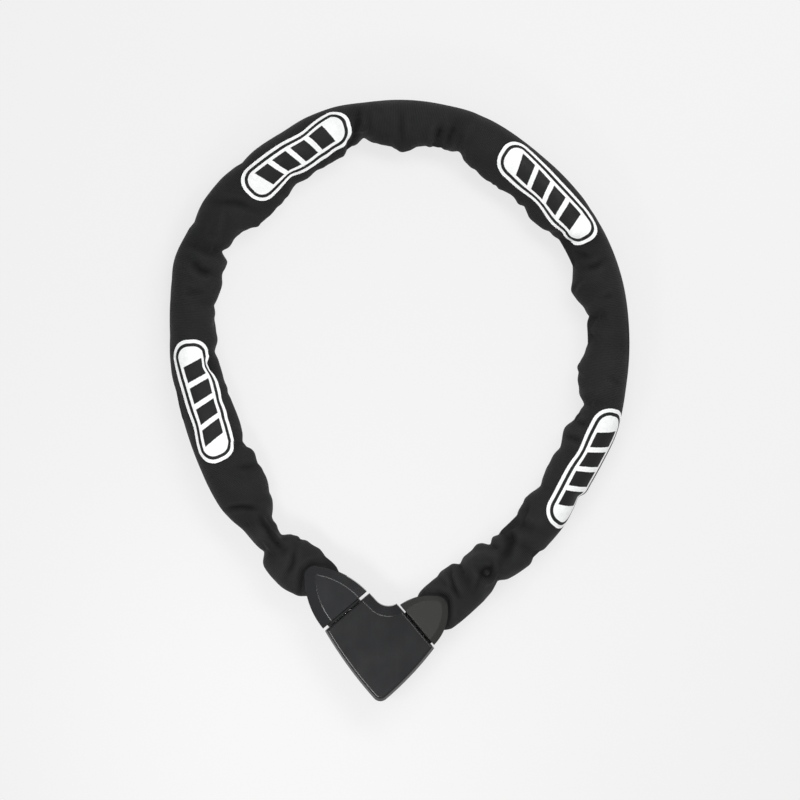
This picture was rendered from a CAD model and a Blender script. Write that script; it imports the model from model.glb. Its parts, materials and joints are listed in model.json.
import json
import math

import bpy
import numpy as np
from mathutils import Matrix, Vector


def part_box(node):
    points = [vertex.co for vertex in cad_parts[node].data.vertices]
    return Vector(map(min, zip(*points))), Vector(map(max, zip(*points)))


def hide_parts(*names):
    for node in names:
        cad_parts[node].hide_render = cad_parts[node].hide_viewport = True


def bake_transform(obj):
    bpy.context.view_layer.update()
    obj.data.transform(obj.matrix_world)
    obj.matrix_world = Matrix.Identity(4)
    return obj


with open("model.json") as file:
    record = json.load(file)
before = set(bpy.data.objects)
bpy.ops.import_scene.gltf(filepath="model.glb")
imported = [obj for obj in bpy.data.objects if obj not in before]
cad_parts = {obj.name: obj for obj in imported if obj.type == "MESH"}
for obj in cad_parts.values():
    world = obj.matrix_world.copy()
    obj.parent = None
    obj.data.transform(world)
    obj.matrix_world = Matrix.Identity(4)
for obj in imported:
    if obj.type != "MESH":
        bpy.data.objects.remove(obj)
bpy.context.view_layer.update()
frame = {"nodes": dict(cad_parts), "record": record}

MM = 0.001

# ---------------------------------------------------------------- the sleeve's sizes
# All in mm. Places along the chain count from the anchor pin, and side offsets from
# the chain's axis, positive towards the outside of the loop.

CENTRE_Z = 15.5  # height of the chain's axis
PAST_ANCHOR_PIN = 5.6  # how far the sleeve runs past each pin
PAST_BOLT_PIN = 6.0
RING_PITCH = 0.75  # distance between the grid's rings
AROUND = 144  # points in a ring
SMOOTHING_ROUNDS = 2
CLOTH_PERIMETER = 98.0
GATHER = 1.14  # mm of cloth for each mm of chain that it covers

# How far the sleeve's outer and inner edges lie from the chain's axis, at places
# along the chain
OUTER_EDGE = [
    (-6, 12.4), (-3, 14.6), (1, 16.4), (10, 16.8), (26, 16), (34, 14.6), (43, 12.2),
    (54, 14.6), (64, 15.2), (71, 13), (78, 14.2), (92, 14), (112, 11.6), (118, 13.5),
    (140, 14.2), (156, 15), (190, 13.4), (216, 13.3), (248, 13.9), (300, 14.2),
    (332, 13.8), (378, 15.3), (400, 14.1), (440, 13.5), (464, 15.1), (478, 15),
    (496, 13.6), (512, 13.8), (524, 13.1), (540, 14.6), (554, 14.6), (568, 13.3),
    (592, 15.6), (606, 14.2), (632, 13.4), (656, 14.5), (672, 13.4), (694, 12.9),
    (714, 13.3), (743, 15.1), (753, 13.8), (765, 10.6), (780, 9.7), (785, 14),
    (794, 17.2), (802, 18.6), (810, 18), (815, 16.5), (820, 13.5), (824, 11),
]
INNER_EDGE = [
    (-6, 11.5), (-3, 13.4), (1, 14.8), (10, 15.3), (26, 15.6), (31, 13.2), (36, 14.2),
    (45, 16.1), (49, 15), (53, 12.4), (57, 13.2), (64, 11.7), (76, 11.9), (84, 14.8),
    (93, 16.5), (106, 13.9), (120, 15.9), (138, 15.4), (146, 16.8), (157, 13.2),
    (168, 11.3), (176, 15.1), (186, 17), (195, 18), (204, 15), (214, 13.6), (226, 11),
    (234, 13.2), (242, 17), (249, 18.7), (258, 16.2), (270, 13), (280, 10.5),
    (286, 11.5), (292, 15), (300, 18.4), (311, 19.8), (330, 18.4), (344, 18.9),
    (357, 19.4), (366, 17.4), (375, 15.6), (380, 12.6), (389, 13), (396, 12),
    (401, 14.2), (409, 15), (416, 19.2), (421, 19.8), (430, 16.7), (440, 14),
    (448, 9.7), (456, 12), (460, 12.8), (465, 16.4), (474, 17.9), (486, 18.2),
    (496, 20), (504, 19.7), (516, 21.9), (538, 23.6), (547, 22), (553, 18.6),
    (562, 16), (572, 14.9), (577, 13), (583, 16.8), (598, 18), (612, 16.1),
    (617, 15.3), (630, 16.5), (641, 16.9), (648, 15.4), (660, 17.2), (678, 19.4),
    (698, 21.2), (707, 20.4), (713, 19.2), (724, 21.9), (732, 20.3), (741, 20.2),
    (753, 16.8), (764, 12), (771, 8.4), (778, 8.2), (785, 12.5), (798, 15),
    (806, 15.4), (811, 13.8), (817, 11), (824, 9.5),
]

# The sleeve's top over the axis: beside the caps, on the chain, the extra over an
# upright link and the sag over a flat one
LOW_CREST = 10.7
CREST = 14.6
UPRIGHT_RISE = 0.7
FLAT_SAG = 0.5
LOW_END = 9.0  # length of each low end, and of the slope up from it
BOLT_END_SHIFT = 2.0  # the low end at the bolt starts this far past its pin

# An inner side wider than this lies thin, like a folded edge, fully so this much wider
THIN_FROM = 15.0
THIN_OVER = 9.0
THINNING = 0.34

# How the underside lies on the ground
GROUND_GAP = 0.25
UNDERSIDE_SAG = 1.07
FLATTENED = 1.5  # height over the ground within which it flattens out

# A link's outline, and the room that the cloth keeps from it
LINK_HALF_WIDTH = 12.25
LINK_HALF_STRAIGHT = 11.7
SIDE_ROOM = 0.9
TOP_ROOM = 0.7
BAR_REACH = 4.6  # cloth this close to a flat link's plane keeps clear of its bars
BAR_FADE = 4.0  # and over this further distance less and less
RIM_REACH = 4.3  # the same for an upright link's plane
RIM_FADE = 3.5
END_RUN = 14.0  # length of each end where links don't lift the cloth over LOW_CREST

# Pinched creases across the top: place, depth, width, lean along the chain towards
# the outer side, and how far over the top they reach from the inner edge (0 is the
# inner edge, 1 the outer)
CREASES = [
    (14, 1.6, 3.0, 6, 0.9), (30, 2.8, 3.0, -7, 0.9), (53, 2.4, 3.0, 10, 0.75),
    (63, 1.5, 3.2, 10, 0.95), (75, 2.2, 3.4, 12, 0.8), (89, 0.8, 3.5, -6, 0.6),
    (106, 1.0, 4.0, 5, 0.6), (168, 1.8, 3.6, 8, 0.75), (160, 1.0, 3.0, -5, 0.5),
    (212, 0.9, 3.4, -6, 0.5), (226, 1.9, 3.6, 7, 0.7), (270, 1.1, 4.0, -8, 0.8),
    (282, 2.2, 3.6, -12, 0.9), (381, 1.7, 3.2, 9, 0.8), (396, 2.0, 3.4, -7, 0.75),
    (404, 0.9, 3.0, 6, 0.5), (440, 1.0, 3.6, -8, 0.6), (448, 2.6, 3.6, 5, 0.95),
    (460, 1.4, 3.2, -5, 0.6), (562, 1.0, 4.0, 6, 0.6), (577, 2.4, 3.6, 7, 0.95),
    (616, 1.3, 3.6, -8, 0.8), (648, 1.1, 3.4, 6, 0.6), (713, 1.2, 3.6, -5, 0.6),
    (732, 0.9, 3.4, 7, 0.6), (752, 1.2, 3.6, 5, 0.9), (766, 2.2, 3.8, -8, 1.0),
    (780, 2.6, 3.8, 8, 1.0), (792, 1.4, 3.4, -8, 0.8),
]
CREASE_DEPTH = 1.9  # times the table's depth, at the bottom of a crease
CREASE_RIDGE = 0.6  # times the table's depth, up on the ridge beside it
CREASE_FADE = 0.45  # share of the way over the top in which a crease dies out
# The same kind of crease entering from the outer edge
OUTER_CREASES = [
    (43, 2.0, 3.4, 6, 0.6), (71, 1.4, 3.2, -7, 0.55), (113, 1.6, 3.4, 6, 0.4),
    (524, 0.9, 3.4, 8, 0.4), (568, 1.0, 3.4, -6, 0.5), (672, 0.8, 4.0, 6, 0.4),
    (781, 2.0, 3.4, -8, 0.7), (810, 1.4, 3.0, 6, 0.6),
]
# Long folds over the top, each a line of (place along the chain, side offset) with
# its depth and width; a negative depth is a ridge
LONG_FOLDS = [
    ([(17, 4), (18.5, -4), (21, -10), (25, -15)], 2.8, 1.3),
    ([(27, 9), (32, 5), (37, 1), (38, -4)], 1.8, 1.5),
    ([(43, 2.4), (46, 1), (48, -3)], 1.5, 1.2),
    ([(33, -9), (40, -10.5), (48, -8), (53, -3), (54, 1)], -1.0, 1.6),
    ([(53, 3.5), (62, -2.5), (71, -10)], 4.2, 2.6),
    ([(74, -6), (84, -10), (95, -14)], 1.3, 2.0),
    ([(145, -4), (144, -15)], 1.8, 1.8),
    ([(156, -5), (155, -12)], 1.8, 1.6),
    ([(185, 10), (190, 1)], 0.8, 1.6),
    ([(240, 7), (239, -3)], 1.0, 1.6),
    ([(262, 7), (260, 0), (261, -8)], 2.0, 1.8),
    ([(266, -2), (275, -10)], 1.0, 1.6),
    ([(379, 9), (380, -8)], -0.8, 1.5),
    ([(389, 4), (390, -11)], 2.2, 2.2),
    ([(397, 0), (398.5, -11)], 3.0, 2.0),
    ([(423, 8), (422, -14)], 1.2, 1.8),
    ([(442, 5), (443, -6)], 0.8, 1.4),
    ([(448, 9), (450, 1), (453, -6), (458, -12)], 3.4, 1.5),
    ([(553, 9), (544, -3), (539, -15)], 1.7, 1.8),
    ([(551, 1), (572, -6)], -0.8, 1.6),
    ([(584, 9), (585.5, -13)], -1.0, 1.5),
    ([(589, 7), (594, -3), (594, -12)], 2.4, 2.2),
    ([(609, 4), (608, -9)], 1.0, 1.6),
    ([(650, -8), (656, -11), (664, -13)], 2.2, 2.0),
    ([(727, -9), (733, -18)], 1.4, 1.8),
    ([(745, 13), (750, 4), (758, -7)], 2.4, 1.3),
    ([(761, -4), (775, -2.8), (789, -2)], 3.4, 2.2),
    ([(799, 12), (798, 2), (793, -8)], 2.2, 1.5),
    # beside the rims of the two caps
    ([(-3, 14), (4.6, 9.6), (10.4, 1.8), (11, -1.6), (8.8, -6.6), (0, -13)], 2.2, 1.5),
    ([(816, 17.5), (809, 10), (805.6, 2.2), (807.3, -4.6), (816, -11)], 2.2, 1.5),
]
FOLD_RIDGE = 0.3  # times a long fold's depth, up on the ridge beside it
# A pinched tuck in the cloth: its place and side offset, the radius and depth of its
# ring, the height of the knot in its middle and of the swell round it
TUCK_AT = (40.7, 2.4)
TUCK_RADIUS = 2.9
TUCK_DEPTH = 2.6
TUCK_KNOT = 2.0
TUCK_SWELL = 1.2
# Small slack folds, and how far along the chain each one is worked out
FINE_FOLDS = 190
FOLD_SEED = 7
FINE_FOLD_RUN = 30.0

# Share of the folds' depth that is left in some places
UNDERNEATH = 0.8
AT_THE_EDGES = 0.45
BESIDE_CAPS = 0.25
AGAINST_LINKS = 0.2

# Depths at which a long fold and a crease are as dark as they get, and the fold
# value of the palest ridge
DARK_FOLD = 2.4
DARK_CREASE = 9.0
PALE_RIDGE = -0.35

# Reflective patches: place of the middle, and the side offsets of the first end, the
# middle and the last end
PATCHES = [
    ("patch_1", 130.5, (9.4, 7.6, 10.4)),
    ("patch_2", 316.0, (1.2, -1.6, 1.1)),
    ("patch_3", 494.7, (1.0, -4.4, -4.8)),
    ("patch_4", 678.9, (0.6, -3.2, -1.9)),
]
# Folds that hide part of a patch's edge: place along it from -1 to 1, depth and
# width; a negative depth is on the outer edge
PATCH_TUCKS = {
    "patch_1": [(0.2, 1.6, 9)],
    "patch_2": [(0.0, 3.4, 13), (-0.62, 1.8, 6)],
    "patch_3": [(0.3, 2.8, 9), (-0.25, -2.4, 9)],
    "patch_4": [(-0.55, 3.0, 5), (0.0, 1.2, 8), (0.35, -1.8, 9)],
}
PATCH_LENGTH = 80.0
PATCH_WIDTH = 26.2
PATCH_CORNER = 11.7
PATCH_RISE = 0.22
PATCH_SINK = 0.1  # how far its skirt reaches into the cloth
PATCH_TIP = 0.02  # the grid stops this short of each tip
PATCH_ROWS = 110
PATCH_COLUMNS = 44
SWAY_REACH = 1.35  # past 1/1.35 of the way to its tips the print runs straight

# The print: four slanted bars inside a thin line that follows the patch's edge
BAR_PITCH = 13.6
BAR_WIDTH = 10.4
BAR_HALF_HEIGHT = 6.9
BAR_SLANT = 0.35
BARS_HALF_LENGTH = 2 * BAR_PITCH
LINE_INSET = 3.3
LINE_HALF_WIDTH = 1.1

# Where one stretch of sleeve ends and the next begins
CUTS = [49, 178, 250, 370, 444, 575, 636, 775]
BEND_REACH = 14.0  # the cloth bends over this length on each side of a joint

EDGE_RADIUS = 0.9  # at the mouldings' edges, in shading only

# ---------------------------------------------------------------- the chain's line


JOINTS = {joint["name"]: joint for joint in frame["record"]["behaviour"]["joints"]}
LINK_COUNT = 25


def joint_at(name):
    return np.array(JOINTS[name]["pos_m"][:2]) / MM


def node_middle(name):
    low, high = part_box(name)
    return (np.array(low) + np.array(high))[:2] / 2 / MM


def pivots():
    """The chain's pivots: each link's middle lies halfway between its two."""
    found = [joint_at("anchor_pivot")]
    for number in range(1, LINK_COUNT + 1):
        found.append(2 * node_middle(f"link_{number:02d}") - found[-1])
    return np.array(found)


def spline(knots, values, at):
    """A natural cubic spline through rows of values at the knots."""
    knots, values = np.asarray(knots, float), np.asarray(values, float)
    step = np.diff(knots)
    count = len(knots)
    matrix = np.eye(count)
    right = np.zeros_like(values)
    for i in range(1, count - 1):
        matrix[i, i - 1 : i + 2] = step[i - 1], 2 * (step[i - 1] + step[i]), step[i]
        rise = (values[i + 1] - values[i]) / step[i]
        right[i] = 6 * (rise - (values[i] - values[i - 1]) / step[i - 1])
    second = np.linalg.solve(matrix, right)
    i = np.clip(np.searchsorted(knots, at) - 1, 0, count - 2)
    run = step[i][:, None]
    b = ((at - knots[i]) / step[i])[:, None]
    a = 1 - b
    straight = a * values[i] + b * values[i + 1]
    return straight + ((a**3 - a) * second[i] + (b**3 - b) * second[i + 1]) * run**2 / 6


def smooth_table(table, at):
    """Values between the rows of a table, level at each row that is a peak or a dip."""
    x, y = np.array(table, float).T
    run = np.diff(x)
    slope = np.diff(y) / run
    tangent = np.zeros_like(y)
    before, after = slope[:-1], slope[1:]
    same = before * after > 0
    tangent[1:-1][same] = 2 * before[same] * after[same] / (before + after)[same]
    i = np.clip(np.searchsorted(x, at) - 1, 0, len(x) - 2)
    t = np.clip((at - x[i]) / run[i], 0, 1)
    h00, h10 = 2 * t**3 - 3 * t**2 + 1, t**3 - 2 * t**2 + t
    h01, h11 = 3 * t**2 - 2 * t**3, t**3 - t**2
    from_low = h00 * y[i] + h10 * run[i] * tangent[i]
    return from_low + h01 * y[i + 1] + h11 * run[i] * tangent[i + 1]


PIVOTS = pivots()
HEAD_AT = joint_at("key_turn")
ANCHOR_WAY = (PIVOTS[0] - HEAD_AT) / np.linalg.norm(PIVOTS[0] - HEAD_AT)
BOLT_WAY = (PIVOTS[-1] - HEAD_AT) / np.linalg.norm(PIVOTS[-1] - HEAD_AT)
LEAD_IN = 14.0  # straight run added at each end of the chain's line
LINE_POINTS = 12001
LINE_SPAN = 1.5  # reach to each side when the line's direction is taken


def running_length(points):
    steps = np.linalg.norm(np.diff(points, axis=0), axis=1)
    return np.r_[0, np.cumsum(steps)]


def laid_line():
    """Points and distances along the chain's axis, closely spaced, and the distance
    of each pivot, with a straight lead into each end of the head."""
    first, last = PIVOTS[0] - LEAD_IN * ANCHOR_WAY, PIVOTS[-1] - LEAD_IN * BOLT_WAY
    points = np.vstack([first, PIVOTS, last])
    chord = running_length(points)
    fine = np.linspace(0, chord[-1], LINE_POINTS)
    line = spline(chord, points, fine)
    along = running_length(line)
    pin = np.interp(chord[1:-1], fine, along)
    return line, along - pin[0], pin - pin[0]


LINE, ALONG, PIVOT_AT = laid_line()
END = PIVOT_AT[-1]


def on_line(s):
    """Point, direction and outward side of the chain's axis at a distance."""

    def point(place):
        return np.stack([np.interp(place, ALONG, LINE[:, k]) for k in (0, 1)], -1)

    way = point(s + LINE_SPAN) - point(s - LINE_SPAN)
    way /= np.linalg.norm(way, axis=-1, keepdims=True)
    return point(s), way, np.stack([way[..., 1], -way[..., 0]], -1)


def ease(x):
    x = np.clip(x, 0, 1)
    return x * x * (3 - 2 * x)


# ---------------------------------------------------------------- the sleeve's shape
# Surfaces are grids: s is the place along the chain, and turn is 0 at the outer edge,
# a quarter turn on top and a half turn at the inner edge.


def link_half_width(s):
    """Half widths of the flat and of the upright links at a distance."""
    flat, upright = np.zeros_like(s), np.zeros_like(s)
    for number, middle in enumerate((PIVOT_AT[1:] + PIVOT_AT[:-1]) / 2):
        past = np.maximum(np.abs(s - middle) - LINK_HALF_STRAIGHT, 0)
        width = np.sqrt(np.maximum(LINK_HALF_WIDTH**2 - past**2, 0))
        links = upright if number % 2 else flat
        np.maximum(links, width, out=links)
    return flat, upright


def from_ends(s):
    """Distance from the nearer end of the sleeve's high part."""
    return np.minimum(s, END + BOLT_END_SHIFT - s)


def half_width(s, turn):
    """The sleeve's half width on the side that each point lies on."""
    outer = smooth_table(OUTER_EDGE, s[:, 0])[:, None]
    inner = smooth_table(INNER_EDGE, s[:, 0])[:, None]
    return np.where(np.cos(turn) > 0, outer, inner)


def bell(x):
    return np.exp(-(x**2))


def sharp_dip(x):
    """Like a bell, but narrower at its bottom, as a fold is."""
    return np.exp(-np.abs(x) ** 1.25)


def crease(s, over, table):
    """Depth of the pinched creases. Over runs from 0 at the edge they start from
    to 1 at the other."""
    depth = np.zeros_like(s)
    for place, deep, width, lean, reach in table:
        middle = place + lean * over**1.3
        held = deep * ease((reach - over) / CREASE_FADE)
        x = (s - middle) / (width * (0.8 + 0.7 * over))
        depth += CREASE_DEPTH * held * sharp_dip(x)
        # the cloth that was pushed aside stands up beside the crease
        depth -= CREASE_RIDGE * held * bell(x - 1.8)
    return depth


def pinches(s, turn):
    """Depth of the creases from both edges."""
    over = np.abs(turn) / math.pi
    return crease(s, 1 - over, CREASES) + crease(s, over, OUTER_CREASES)


def fine_folds(s, turn):
    """Small slack folds all over, most of them towards the inner side."""
    rng = np.random.RandomState(FOLD_SEED)
    depth = np.zeros_like(s)
    for _ in range(FINE_FOLDS):
        place = rng.uniform(0, END)
        middle = math.pi + rng.normal(0, 1.35)
        lean = rng.uniform(-9, 9)
        width = rng.uniform(1.8, 5.0)
        spread = rng.uniform(0.35, 0.95)
        deep = rng.uniform(0.45, 1.4) * rng.choice([1, 1, -1])
        near = np.abs(s[:, 0] - place) < FINE_FOLD_RUN
        off = (turn[near] - middle + math.pi) % (2 * math.pi) - math.pi
        x = (s[near] - place - lean * np.sin(off)) / width
        depth[near] += deep * bell(x) * bell(off / spread)
    return depth


def far_from_line(s, side, line):
    """Distance from points to a line of straight runs, in the unrolled plan, and
    how far along the line the nearest point lies, from 0 to 1."""
    found, place = np.full(s.shape, np.inf), np.zeros_like(s)
    runs = len(line) - 1
    for number in range(runs):
        (s0, side0), (s1, side1) = line[number], line[number + 1]
        run_s, run_side = s1 - s0, side1 - side0
        along = ((s - s0) * run_s + (side - side0) * run_side) / (run_s**2 + run_side**2)
        along = np.clip(along, 0, 1)
        away = np.hypot(s - s0 - along * run_s, side - side0 - along * run_side)
        place = np.where(away < found, (number + along) / runs, place)
        found = np.minimum(found, away)
    return found, place


def long_folds(s, side):
    """Depth of the long folds at places and side offsets."""
    depth = np.zeros_like(s)
    for line, deep, width in LONG_FOLDS:
        away, place = far_from_line(s, side, line)
        away = away / width
        # a fold is deepest in its middle and dies out at both ends
        held = deep * (0.3 + 0.7 * ease(np.minimum(place, 1 - place) / 0.35))
        depth += held * sharp_dip(away)
        depth -= FOLD_RIDGE * held * bell(away - 2.3)
    return depth


def tuck_distance(s, side):
    """Distance from the tuck's middle, in its ring's radius."""
    return np.hypot(s - TUCK_AT[0], side - TUCK_AT[1]) / TUCK_RADIUS


def tuck_depth(s, side):
    away = tuck_distance(s, side)
    ring = TUCK_DEPTH * bell((away - 1) / 0.45)
    knot = TUCK_KNOT * bell(away / 0.45)
    swell = TUCK_SWELL * bell((away - 2.1) / 0.6)
    return ring - knot - swell


def section_offsets(s, turn):
    """Side offset and height of the sleeve's surface over the chain's axis."""
    c, z_way = np.cos(turn), np.sin(turn)
    edge = half_width(s, turn)
    flat, upright = link_half_width(s)

    # full over upright links, slack over flat ones, low at both ends
    risen = ease((from_ends(s) - LOW_END) / LOW_END)
    crest = CREST + UPRIGHT_RISE * ease((upright - 6) / 6) - FLAT_SAG * ease((flat - 8) / 4)
    crest = LOW_CREST + risen * (crest - LOW_CREST)
    thin = np.clip((edge - THIN_FROM) / THIN_OVER, 0, 1) * (c < 0)
    side = c * edge
    up = z_way * crest * (1 - THINNING * thin * c**2)

    # creases are strongest on top, weaker underneath and at the edges
    pinch = pinches(s, turn) * np.where(z_way >= 0, 1, UNDERNEATH)
    pinch *= AT_THE_EDGES + (1 - AT_THE_EDGES) * z_way**2
    # the outer side lies tight against the links
    slack = 1 - (1 - AGAINST_LINKS) * ease((c - 0.25) / 0.6)
    dip = pinch + fine_folds(s, turn) * slack
    dip *= BESIDE_CAPS + (1 - BESIDE_CAPS) * risen
    on_top = tuck_depth(s, side) + long_folds(s, side) * ease(z_way / 0.5)
    dip += np.where(z_way > 0, on_top, 0)
    return side - c * dip, up - z_way * dip


def fold_shade(s, turn):
    """How deep in a fold each point lies, from 0 to 1, and below 0 on a ridge."""
    side = np.cos(turn) * half_width(s, turn)
    shade = long_folds(s, side) / DARK_FOLD + pinches(s, turn) / DARK_CREASE
    away = tuck_distance(s, side)
    shade += bell((away - 1) / 0.5) - 0.8 * bell(away / 0.4)
    return np.clip(shade, PALE_RIDGE, 1) * ease(np.sin(turn) / 0.5)


def pushed_out(offset, need):
    """An offset that is no less than what is needed, on its own side."""
    return np.where(np.abs(offset) < need, np.sign(offset) * need, offset)


def clear_of_links(s, side, up):
    """Push the surface out wherever a bar would otherwise come through it."""
    flat, upright = link_half_width(s)
    beside_flat = ease(1 - (np.abs(up) - BAR_REACH) / BAR_FADE)
    side = pushed_out(side, np.where(flat > 1, flat + SIDE_ROOM, 0) * beside_flat)
    # on top, an upright link's rim
    over_upright = ease(1 - (np.abs(side) - RIM_REACH) / RIM_FADE)
    need = np.where(upright > 1, upright + TOP_ROOM, 0) * over_upright
    need = np.minimum(need, np.where(from_ends(s) < END_RUN, LOW_CREST, np.inf))
    return side, pushed_out(up, need)


def sleeve_surface(s, turn):
    """Points of the sleeve in metres."""
    side, up = clear_of_links(s, *section_offsets(s, turn))
    # the underside rests on the ground
    up = np.where(up < 0, up * UNDERSIDE_SAG, up)
    ground = GROUND_GAP - CENTRE_Z
    over = (up - ground - FLATTENED) / FLATTENED
    up = np.where(over < 0, ground + FLATTENED * np.exp(over), up)
    at, _, out = on_line(s)
    plan = at + out * side[..., None]
    return np.concatenate([plan, (CENTRE_Z + up)[..., None]], -1) * MM


def smoothed(points):
    """Soften the grid along and around, as cloth does, keeping its ends."""
    for _ in range(SMOOTHING_ROUNDS):
        ring = (np.roll(points, 1, 1) + np.roll(points, -1, 1)) / 2
        run = points.copy()
        run[1:-1] = (points[2:] + points[:-2]) / 2
        points = points * 0.5 + ring * 0.25 + run * 0.25
    return points


def grid_normals(points):
    around = np.roll(points, -1, 1) - np.roll(points, 1, 1)
    along = np.gradient(points, axis=0)
    normal = np.cross(along, around)
    normal /= np.linalg.norm(normal, axis=-1, keepdims=True)
    middle = points.mean(1, keepdims=True)
    outward = ((points - middle) * normal).sum() > 0
    return normal if outward else -normal


def sleeve_grid():
    """Places of the rings, and the whole sleeve's points, normals and fold values."""
    length = END + PAST_ANCHOR_PIN + PAST_BOLT_PIN
    s = np.linspace(-PAST_ANCHOR_PIN, END + PAST_BOLT_PIN, round(length / RING_PITCH) + 1)
    turn = np.arange(AROUND) * 2 * math.pi / AROUND
    turn = np.where(turn > math.pi, turn - 2 * math.pi, turn)
    grid_s, grid_turn = np.meshgrid(s, turn, indexing="ij")
    points = smoothed(sleeve_surface(grid_s, grid_turn))
    return s, points, grid_normals(points), fold_shade(grid_s, grid_turn)


def mesh_object(name, points, faces, uv=None, normals=None, material=None):
    mesh = bpy.data.meshes.new(name)
    mesh.from_pydata([tuple(p) for p in points], [], [tuple(f) for f in faces])
    mesh.validate()
    mesh.polygons.foreach_set("use_smooth", [True] * len(mesh.polygons))
    if uv is not None:
        layer = mesh.uv_layers.new(name="weave")
        layer.data.foreach_set("uv", np.asarray(uv, np.float32).ravel())
    if normals is not None:
        mesh.normals_split_custom_set_from_vertices([tuple(n) for n in normals])
    if material is not None:
        mesh.materials.append(material)
    made = bpy.data.objects.new(name, mesh)
    bpy.context.collection.objects.link(made)
    return made


JOINT_NAMES = ["anchor_pivot"] + [f"chain_bend_{n}" for n in range(1, 8)] + ["bolt_pivot"]
JOINT_PIVOTS = [
    int(np.argmin(np.linalg.norm(PIVOTS - joint_at(name), axis=1))) for name in JOINT_NAMES
]


def bend_points(number):
    """Start and end of the bend at a joint, in metres."""
    at, way, _ = on_line(PIVOT_AT[JOINT_PIVOTS[number]])
    start, end = at - way * BEND_REACH, at + way * BEND_REACH
    return (*(start * MM), CENTRE_Z * MM), (*(end * MM), CENTRE_Z * MM)


def blend_over(piece, number):
    """Let a piece bend with the joint between two bodies."""
    start, end = bend_points(number)
    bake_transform(piece)


def tube_faces(s):
    """Faces between a tube's rings, and each corner's place on the flat cloth in
    metres."""
    ring = np.arange(AROUND)
    after = np.roll(ring, -1)
    across = np.arange(AROUND + 1) / AROUND * CLOTH_PERIMETER * MM
    low, high = across[:-1], across[1:]
    faces, uv = [], []
    for row in range(len(s) - 1):
        near = row * AROUND
        far = near + AROUND
        faces.append(np.stack([near + ring, near + after, far + after, far + ring], 1))
        u0, u1 = s[row] * GATHER * MM, s[row + 1] * GATHER * MM
        corners = [(u0, low), (u0, high), (u1, high), (u1, low)]
        uv.append(np.stack([np.stack([np.full(AROUND, u), v], 1) for u, v in corners], 1))
    return np.concatenate(faces)[:, ::-1], np.concatenate(uv)[:, ::-1].reshape(-1, 2)


def sleeve_pieces(grid, material):
    """The whole sleeve's grid, cut into one piece for each joint."""
    s, points, normals, shade = grid
    cuts = [0] + [int(np.argmin(np.abs(s - c))) for c in CUTS] + [len(s) - 1]
    made = []
    for number in range(len(cuts) - 1):
        rows = slice(cuts[number], cuts[number + 1] + 1)
        faces, uv = tube_faces(s[rows])
        piece = mesh_object(
            f"sleeve_cloth_{number + 1}",
            points[rows].reshape(-1, 3),
            faces,
            uv,
            normals[rows].reshape(-1, 3),
            material,
        )
        fold = piece.data.attributes.new("fold", "FLOAT", "POINT")
        fold.data.foreach_set("value", shade[rows].astype(np.float32).ravel())
        blend_over(piece, number)
        made.append(piece)
    return made


def replace_sleeves(pieces):
    """Each CAD stretch is stood for by the cloth pieces at its two ends."""
    for number, piece in enumerate(pieces):
        nodes = [f"sleeve_{n}" for n in (number, number + 1) if 1 <= n <= 8]
        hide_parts(*nodes)


# ---------------------------------------------------------------- patches


def rounded_half_width(x):
    """Half width of the patch at a distance from its middle."""
    straight = PATCH_LENGTH / 2 - PATCH_CORNER
    past = np.maximum(np.abs(x) - straight, 0)
    return PATCH_WIDTH / 2 - PATCH_CORNER + np.sqrt(np.maximum(PATCH_CORNER**2 - past**2, 0))


def tucked_width(name, x, across, wide):
    """Distances across a patch, with its edges drawn in where a fold hides them."""
    for place, deep, width in PATCH_TUCKS[name]:
        edge = math.copysign(1, deep)
        hidden = deep * bell((x - place * PATCH_LENGTH / 2) / width)[:, None]
        wide = wide - hidden * np.clip(across * edge, 0, 1)
    return wide


def surface_lookup(grid, at, around):
    """Points and normals of the sleeve at places along it and distances round the
    cloth, measured in mm from the top towards the inner edge."""
    s, points, normals, _ = grid
    row = np.interp(at, s, np.arange(len(s)))
    below = np.floor(row).astype(int).clip(0, len(s) - 2)
    top = AROUND // 4
    step = np.linalg.norm(np.diff(points, axis=1, append=points[:, :1]), axis=-1)
    length = np.cumsum(step, axis=1)
    length -= length[:, top - 1 : top]
    found = np.zeros((2, *at.shape, 3))
    for index in np.ndindex(at.shape):
        r = below[index]
        g = row[index] - r
        column = np.interp(around[index] * MM, length[r], np.arange(1, AROUND + 1))
        c, f = int(column) % AROUND, column % 1
        after = (c + 1) % AROUND
        for number, values in enumerate((points, normals)):
            low = values[r, c] * (1 - f) + values[r, after] * f
            high = values[r + 1, c] * (1 - f) + values[r + 1, after] * f
            found[(number, *index)] = low * (1 - g) + high * g
    found[1] /= np.linalg.norm(found[1], axis=-1, keepdims=True)
    return found


def patch_faces():
    """Faces of a patch's top and skirt, and the points of the top's rim."""
    index = np.arange(PATCH_ROWS * PATCH_COLUMNS).reshape(PATCH_ROWS, PATCH_COLUMNS)
    top = np.stack([index[:-1, :-1], index[1:, :-1], index[1:, 1:], index[:-1, 1:]], -1)
    rim = np.r_[index[0], index[1:, -1], index[-1, -2::-1], index[-2:0:-1, 0]]
    below = index.size + np.arange(len(rim))
    skirt = np.stack([np.roll(rim, -1), rim, below, np.roll(below, -1)], -1)
    return np.vstack([top.reshape(-1, 4), skirt]), rim


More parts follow.
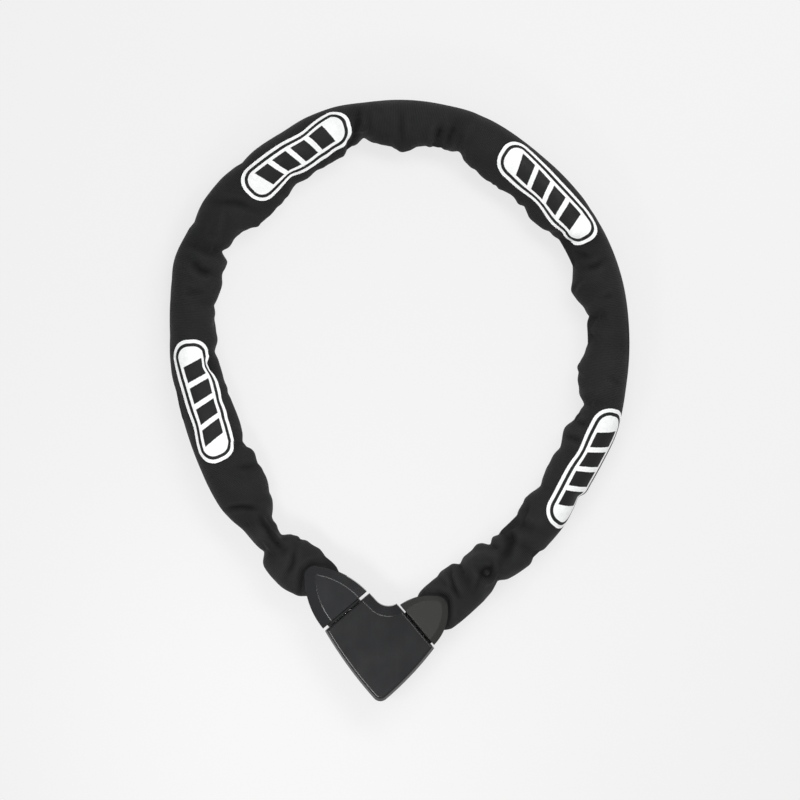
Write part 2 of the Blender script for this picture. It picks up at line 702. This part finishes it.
def make_patch(name, middle, offsets, grid, material):
    """A printed film on the cloth, with rounded corners and a thin edge."""
    tip = PATCH_LENGTH / 2 - PATCH_TIP
    x = np.sin(np.linspace(-math.pi / 2, math.pi / 2, PATCH_ROWS)) * tip
    across = np.linspace(-1, 1, PATCH_COLUMNS)
    wide = rounded_half_width(x)[:, None] * across
    u = np.repeat(x[:, None], PATCH_COLUMNS, 1) / PATCH_LENGTH + 0.5
    print_uv = np.stack([u, wide / PATCH_WIDTH + 0.5], -1).reshape(-1, 2)
    # the cloth's folds make the print wander from side to side
    ends_at = np.clip(x / (PATCH_LENGTH / 2) * SWAY_REACH, -1, 1)
    sway = spline([-1, 0, 1], np.reshape(offsets, (-1, 1)), ends_at)
    at = np.repeat(middle + x[:, None], PATCH_COLUMNS, 1)
    base, normal = surface_lookup(grid, at, tucked_width(name, x, across, wide) - sway)
    faces, rim = patch_faces()
    top = (base + normal * PATCH_RISE * MM).reshape(-1, 3)
    skirt = (base - normal * PATCH_SINK * MM).reshape(-1, 3)[rim]
    uv = np.vstack([print_uv, print_uv[rim]])[faces]
    return mesh_object(name, np.vstack([top, skirt]), faces, uv, None, material)


# ---------------------------------------------------------------- materials


class Nodes:
    """Short hand for building a material's node tree."""

    def __init__(self, name):
        self.material = bpy.data.materials.new(name)
        self.material.use_nodes = True
        self.tree = self.material.node_tree
        self.shader = self.tree.nodes["Principled BSDF"]

    def add(self, kind, **settings):
        node = self.tree.nodes.new(kind)
        for key, value in settings.items():
            setattr(node, key, value)
        return node

    def link(self, a, b):
        self.tree.links.new(a, b)

    def math(self, operation, *values, clamp=False):
        node = self.add("ShaderNodeMath", operation=operation, use_clamp=clamp)
        for socket, value in zip(node.inputs, values):
            if isinstance(value, (int, float)):
                socket.default_value = value
            else:
                self.link(value, socket)
        return node.outputs[0]

    def centred(self, value, size=1.0):
        """A value from 0 to 1, moved to lie about 0 and scaled up."""
        return self.math("MULTIPLY", self.math("SUBTRACT", value, 0.5), size)

    def wave(self, value, length):
        """A sine along a value, from -1 to 1."""
        return self.math("SINE", self.math("MULTIPLY", value, 2 * math.pi / length))

    def inside(self, half_size, value, sharpness):
        """1 where a value lies within half a size of 0, with a thin soft edge."""
        room = self.math("SUBTRACT", half_size, self.math("ABSOLUTE", value))
        return self.math("MULTIPLY", room, sharpness, clamp=True)

    def uv(self):
        """The two coordinates of the piece's own map."""
        parts = self.add("ShaderNodeSeparateXYZ")
        self.link(self.add("ShaderNodeUVMap", uv_map="weave").outputs[0], parts.inputs[0])
        return parts.outputs[0], parts.outputs[1]

    def set(self, **values):
        for key, value in values.items():
            self.shader.inputs[key.replace("_", " ")].default_value = value

    def noise(self, scale, detail=4.0, roughness=0.5, stretch=None):
        node = self.add("ShaderNodeTexNoise")
        node.inputs["Scale"].default_value = scale
        node.inputs["Detail"].default_value = detail
        node.inputs["Roughness"].default_value = roughness
        vector = self.add("ShaderNodeTexCoord").outputs["Object"]
        if stretch is not None:
            mapping = self.add("ShaderNodeMapping")
            mapping.inputs["Scale"].default_value = stretch
            self.link(vector, mapping.inputs["Vector"])
            vector = mapping.outputs[0]
        self.link(vector, node.inputs["Vector"])
        return node.outputs["Fac"]

    def ramp(self, value, low, high):
        """A colour between two, each given as its place and colour."""
        node = self.add("ShaderNodeValToRGB")
        for element, (place, colour) in zip(node.color_ramp.elements, (low, high)):
            element.position = place
            element.color = (*colour, 1)
        self.link(value, node.inputs["Fac"])
        return node.outputs["Color"]

    def mottled(self, value, dark, light):
        """A colour that wanders between two as a noise does."""
        return self.ramp(value, (0.3, dark), (0.7, light))

    def multiply(self, colour, factor):
        node = self.add("ShaderNodeMix", data_type="RGBA", blend_type="MULTIPLY")
        node.inputs["Factor"].default_value = 1.0
        self.link(colour, node.inputs["A"])
        self.link(factor, node.inputs["B"])
        return node.outputs["Result"]

    def mix(self, factor, colour, other):
        """A colour, with another fixed one where the factor is 1."""
        node = self.add("ShaderNodeMix", data_type="RGBA")
        self.link(factor, node.inputs["Factor"])
        self.link(colour, node.inputs["A"])
        node.inputs["B"].default_value = (*other, 1)
        return node.outputs["Result"]

    def spread(self, value, low, high):
        node = self.add("ShaderNodeMapRange")
        self.link(value, node.inputs["Value"])
        node.inputs["From Min"].default_value = 0.3
        node.inputs["From Max"].default_value = 0.7
        node.inputs["To Min"].default_value = low
        node.inputs["To Max"].default_value = high
        return node.outputs["Result"]

    def bump(self, height, distance, strength, under=None):
        """Distance is in metres."""
        node = self.add("ShaderNodeBump")
        node.inputs["Strength"].default_value = strength
        node.inputs["Distance"].default_value = distance
        self.link(height, node.inputs["Height"])
        if under is not None:
            self.link(under, node.inputs["Normal"])
        return node.outputs["Normal"]

    def soft_edges(self, radius):
        """Normals that turn over a small radius at every edge of a moulding."""
        node = self.add("ShaderNodeBevel", samples=6)
        node.inputs["Radius"].default_value = radius
        return node.outputs["Normal"]

    def finish(self, colour, roughness=None, normal=None):
        sockets = {"Base Color": colour, "Roughness": roughness, "Normal": normal}
        for name, value in sockets.items():
            if value is not None:
                self.link(value, self.shader.inputs[name])
        return self.material


def grey(value):
    return (value, value, value)


# The weave, in metres: ribs across the sleeve, threads along it
RIB_PITCH = 0.00115
THREAD_PITCH = 0.0009
RIB_WAVER = 0.0006
FOLD_DARKENING = 0.72  # share of the colour that is lost in a full fold


def weave_height(n):
    """Ribs across the sleeve with the threads that pass over and under them."""
    u, v = n.uv()
    along = n.math("ADD", u, n.math("MULTIPLY", n.noise(160, 3), RIB_WAVER))
    rib = n.math("MULTIPLY_ADD", n.wave(along, RIB_PITCH), 0.5, 0.5)
    # threads change sides from one rib to the next
    side = n.math("SIGN", n.wave(u, 2 * RIB_PITCH))
    shift = n.math("MULTIPLY", side, math.pi / 2)
    turn = n.math("MULTIPLY", v, 2 * math.pi / THREAD_PITCH)
    thread = n.math("SINE", n.math("ADD", turn, shift))
    thread = n.math("MULTIPLY_ADD", thread, 0.5, 0.5)
    return n.math("MULTIPLY_ADD", thread, 0.35, rib)


def fabric_material():
    n = Nodes("ribbed_sleeve_cloth")
    height = weave_height(n)
    cloud = n.noise(26, 5, 0.55)
    shade = n.mottled(cloud, (0.0135, 0.0137, 0.014), (0.0206, 0.0208, 0.0211))
    # darker in the bottom of a fold, paler on a ridge
    fold = n.add("ShaderNodeAttribute", attribute_name="fold").outputs["Fac"]
    shade = n.multiply(shade, n.math("MULTIPLY_ADD", fold, -FOLD_DARKENING, 1.0))
    lines = n.ramp(height, (0.1, grey(0.62)), (0.9, grey(1.12)))
    normal = n.bump(n.noise(1900, 2, 0.6), 0.00008, 0.5)
    normal = n.bump(height, 0.00022, 0.9, normal)
    roughness = n.spread(n.noise(70, 3), 0.72, 0.88)
    n.set(Sheen_Weight=0.04, Sheen_Roughness=0.45, Specular_IOR_Level=0.2)
    return n.finish(n.multiply(shade, lines), roughness, normal)


def slanted_bars(n, x, y):
    """1 on the bars, at a place on the patch in mm from its middle."""
    ripple = n.centred(n.noise(900, 2), 0.5)
    slanted = n.math("ADD", n.math("MULTIPLY_ADD", y, BAR_SLANT, x), ripple)
    # the ping-pong needs a positive place, so many pitches are added
    along = n.math("PINGPONG", n.math("ADD", slanted, 100 * BAR_PITCH), BAR_PITCH / 2)
    room = n.math("SUBTRACT", along, (BAR_PITCH - BAR_WIDTH) / 2)
    in_bar = n.math("MULTIPLY", room, 4.0, clamp=True)
    in_rows = n.inside(BAR_HALF_HEIGHT, y, 4.0)
    in_length = n.inside(BARS_HALF_LENGTH, slanted, 4.0)
    return n.math("MULTIPLY", n.math("MULTIPLY", in_bar, in_rows), in_length)


def edge_line(n, x, y):
    """1 on the thin line that runs inside the patch's edge."""
    squares = []
    for value, size in ((x, PATCH_LENGTH), (y, PATCH_WIDTH)):
        past = n.math("SUBTRACT", n.math("ABSOLUTE", value), size / 2 - PATCH_CORNER)
        squares.append(n.math("POWER", n.math("MAXIMUM", past, 0), 2))
    from_core = n.math("SQRT", n.math("ADD", *squares))
    off_line = n.math("SUBTRACT", from_core, PATCH_CORNER - LINE_INSET)
    return n.inside(LINE_HALF_WIDTH, off_line, 8.0)


def patch_material():
    """White reflective film printed with a row of slanted bars."""
    n = Nodes("reflective_patch")
    u, v = n.uv()
    x, y = n.centred(u, PATCH_LENGTH), n.centred(v, PATCH_WIDTH)
    ink = n.math("MAXIMUM", slanted_bars(n, x, y), edge_line(n, x, y))
    white = n.ramp(n.noise(420, 4, 0.6), (0.35, (0.84, 0.85, 0.85)), (0.65, (0.92, 0.925, 0.93)))
    colour = n.mix(ink, white, (0.013, 0.013, 0.014))
    normal = n.bump(n.noise(3200, 1, 0.4), 0.00004, 0.4)
    normal = n.bump(n.wave(x, RIB_PITCH / MM), 0.00006, 0.5, normal)
    roughness = n.spread(n.noise(500, 3), 0.5, 0.64)
    # a little of the light that the film's beads send back
    n.link(colour, n.shader.inputs["Emission Color"])
    n.set(Specular_IOR_Level=0.2, Emission_Strength=0.1)
    return n.finish(colour, roughness, normal)


def moulded_material(name, dark, light, rough, grain, coat, specular):
    """Moulded plastic: faint flow marks, a fine spark-eroded grain, light rubbing."""
    n = Nodes(name)
    colour = n.mottled(n.noise(18, 4, 0.5, stretch=(1, 1, 0.3)), dark, light)
    scuff = n.centred(n.noise(240, 6, 0.7, stretch=(1, 0.15, 1)), 0.12)
    polish = n.spread(n.noise(60, 4), rough - 0.05, rough + 0.05)
    normal = n.bump(n.noise(2600, 2, 0.5), 0.00003, grain, n.soft_edges(EDGE_RADIUS * MM))
    n.set(Coat_Weight=coat, Coat_Roughness=0.12, Specular_IOR_Level=specular)
    return n.finish(colour, n.math("ADD", polish, scuff), normal)


def metal_material(name, dark, light, rough, stretch=(1, 1, 0.06)):
    """Machined metal: fine tool marks, a little staining, uneven polish."""
    n = Nodes(name)
    marks = n.noise(900, 4, 0.6, stretch=stretch)
    stain = n.noise(45, 6, 0.65)
    polish = n.spread(stain, rough - 0.07, rough + 0.08)
    normal = n.bump(marks, 0.00004, 0.3)
    n.set(Metallic=1.0)
    roughness = n.math("ADD", polish, n.centred(marks, 0.2))
    return n.finish(n.mottled(stain, dark, light), roughness, normal)


# For each slot: the dark and the light colour, roughness, depth of the grain,
# weight of the clear coat and specular level
PLASTICS = {
    "housing_plastic": (
        (0.0093, 0.0097, 0.0106), (0.0128, 0.0132, 0.0145), 0.24, 0.35, 0.1, 0.32
    ),
    "bolt_cap_plastic": (
        (0.0103, 0.0108, 0.0121), (0.014, 0.0144, 0.0162), 0.2, 0.3, 0.16, 0.38
    ),
    "anchor_cap_plastic": (
        (0.0178, 0.0178, 0.0164), (0.0233, 0.0231, 0.0211), 0.55, 0.9, 0.0, 0.33
    ),
}
# For each slot: the dark and the light colour, roughness, and the stretch of the
# tool marks along x, y and z where it isn't the usual one
METALS = {
    "case_steel": ((0.3, 0.3, 0.31), (0.42, 0.42, 0.43), 0.38),
    "cylinder_brass": ((0.62, 0.46, 0.2), (0.78, 0.6, 0.31), 0.26, (0.1, 1, 1)),
    "bolt_steel": ((0.26, 0.26, 0.27), (0.38, 0.38, 0.39), 0.32),
    "screw_steel": ((0.1, 0.1, 0.105), (0.19, 0.19, 0.2), 0.34, (1, 1, 1)),
    "chain_steel": ((0.4, 0.39, 0.36), (0.55, 0.54, 0.5), 0.3),
}


def dress_nodes():
    """Give each CAD node the material of its slot."""
    made = {name: moulded_material(name, *look) for name, look in PLASTICS.items()}
    made |= {name: metal_material(name, *look) for name, look in METALS.items()}
    for row in frame["record"]["subparts"]:
        material = made.get(row["material_slot"])
        if material is None:
            continue
        node = frame["nodes"][row["node"]]
        if not node.material_slots:
            node.data.materials.append(material)
        for slot in node.material_slots:
            slot.material = material


# ---------------------------------------------------------------- studio
# In metres and watts

WORLD_STRENGTH = 0.44
FLOOR_HALF = 4.0
FLOOR_DROP = 0.0002
FLOOR_GLOW = 0.73
FRAME_WIDTH = 0.5072  # how much the picture shows at the height of the chain's axis
LENS = 400.0  # lens and sensor in mm, for a view with next to no perspective
SENSOR = 36.0
CAMERA_AT = (0.00028, -0.0004)
FARTHEST = 100.0

# Each lamp's direction from the head as azimuth and elevation in degrees, its
# distance, width and length, and its power
LAMPS = {
    # a strip on each side of the head lights the edges of its sloping flanks
    "strip_far": (66, 50, 1.1, 0.8, 0.3, 5.5),
    "strip_near": (221, 66, 0.3, 0.16, 0.06, 0.5),
    "overhead": (0, 90, 3.2, 3.4, 3.4, 5.0),
}


def softbox(name, azimuth, elevation, distance, width, length, power):
    """A soft lamp aimed at the head, placed by its direction from there."""
    data = bpy.data.lights.new(name, "AREA")
    data.shape = "RECTANGLE"
    data.size, data.size_y = width, length
    data.energy = power
    lamp = bpy.data.objects.new(name, data)
    bpy.context.collection.objects.link(lamp)
    lamp.visible_camera = False
    a, e = math.radians(azimuth), math.radians(elevation)
    way = Vector((math.cos(a) * math.cos(e), math.sin(a) * math.cos(e), math.sin(e)))
    lamp.location = Vector((*(HEAD_AT * MM), CENTRE_Z * MM)) + way * distance
    lamp.rotation_euler = way.to_track_quat("Z", "Y").to_euler()


def studio_floor():
    corners = [(-1, -1), (1, -1), (1, 1), (-1, 1)]
    floor = mesh_object(
        "studio_floor",
        [(x * FLOOR_HALF, y * FLOOR_HALF, -FLOOR_DROP) for x, y in corners],
        [(0, 1, 2, 3)],
    )
    n = Nodes("pale_floor")
    n.set(Roughness=0.9, Specular_IOR_Level=0.05)
    n.set(Emission_Color=(1, 1, 1, 1), Emission_Strength=FLOOR_GLOW)
    floor.data.materials.append(n.finish(n.mottled(n.noise(3, 2), grey(0.16), grey(0.162))))


def studio():
    scene = bpy.context.scene
    scene.view_settings.view_transform = "Standard"
    scene.world = bpy.data.worlds.new("studio")
    scene.world.use_nodes = True
    background = scene.world.node_tree.nodes["Background"]
    background.inputs["Color"].default_value = (1, 1, 1, 1)
    background.inputs["Strength"].default_value = WORLD_STRENGTH
    studio_floor()
    for name, lamp in LAMPS.items():
        softbox(name, *lamp)


def camera():
    """Straight above, with +Y up in the picture."""
    data = bpy.data.cameras.new("camera")
    data.sensor_width = SENSOR
    data.lens = LENS
    data.clip_end = FARTHEST
    eye = bpy.data.objects.new("camera", data)
    bpy.context.collection.objects.link(eye)
    eye.location = (*CAMERA_AT, CENTRE_Z * MM + FRAME_WIDTH * LENS / SENSOR)
    bpy.context.scene.camera = eye


# ---------------------------------------------------------------- the whole lock


def piece_of(middle):
    """The number of the sleeve piece that a distance along the chain falls in."""
    return sum(middle > cut for cut in CUTS)


def patches(grid):
    """Lay the patches on the sleeve, and give the piece that each one lies on."""
    film = patch_material()
    on_piece = {}
    for name, middle, offsets in PATCHES:
        patch = make_patch(name, middle, offsets, grid, film)
        number = piece_of(middle)
        blend_over(patch, number)
        on_piece[number] = patch
    return on_piece


def build():
    dress_nodes()
    grid = sleeve_grid()
    pieces = sleeve_pieces(grid, fabric_material())
    on_piece = patches(grid)
    replace_sleeves(pieces)
    studio()
    camera()


build()
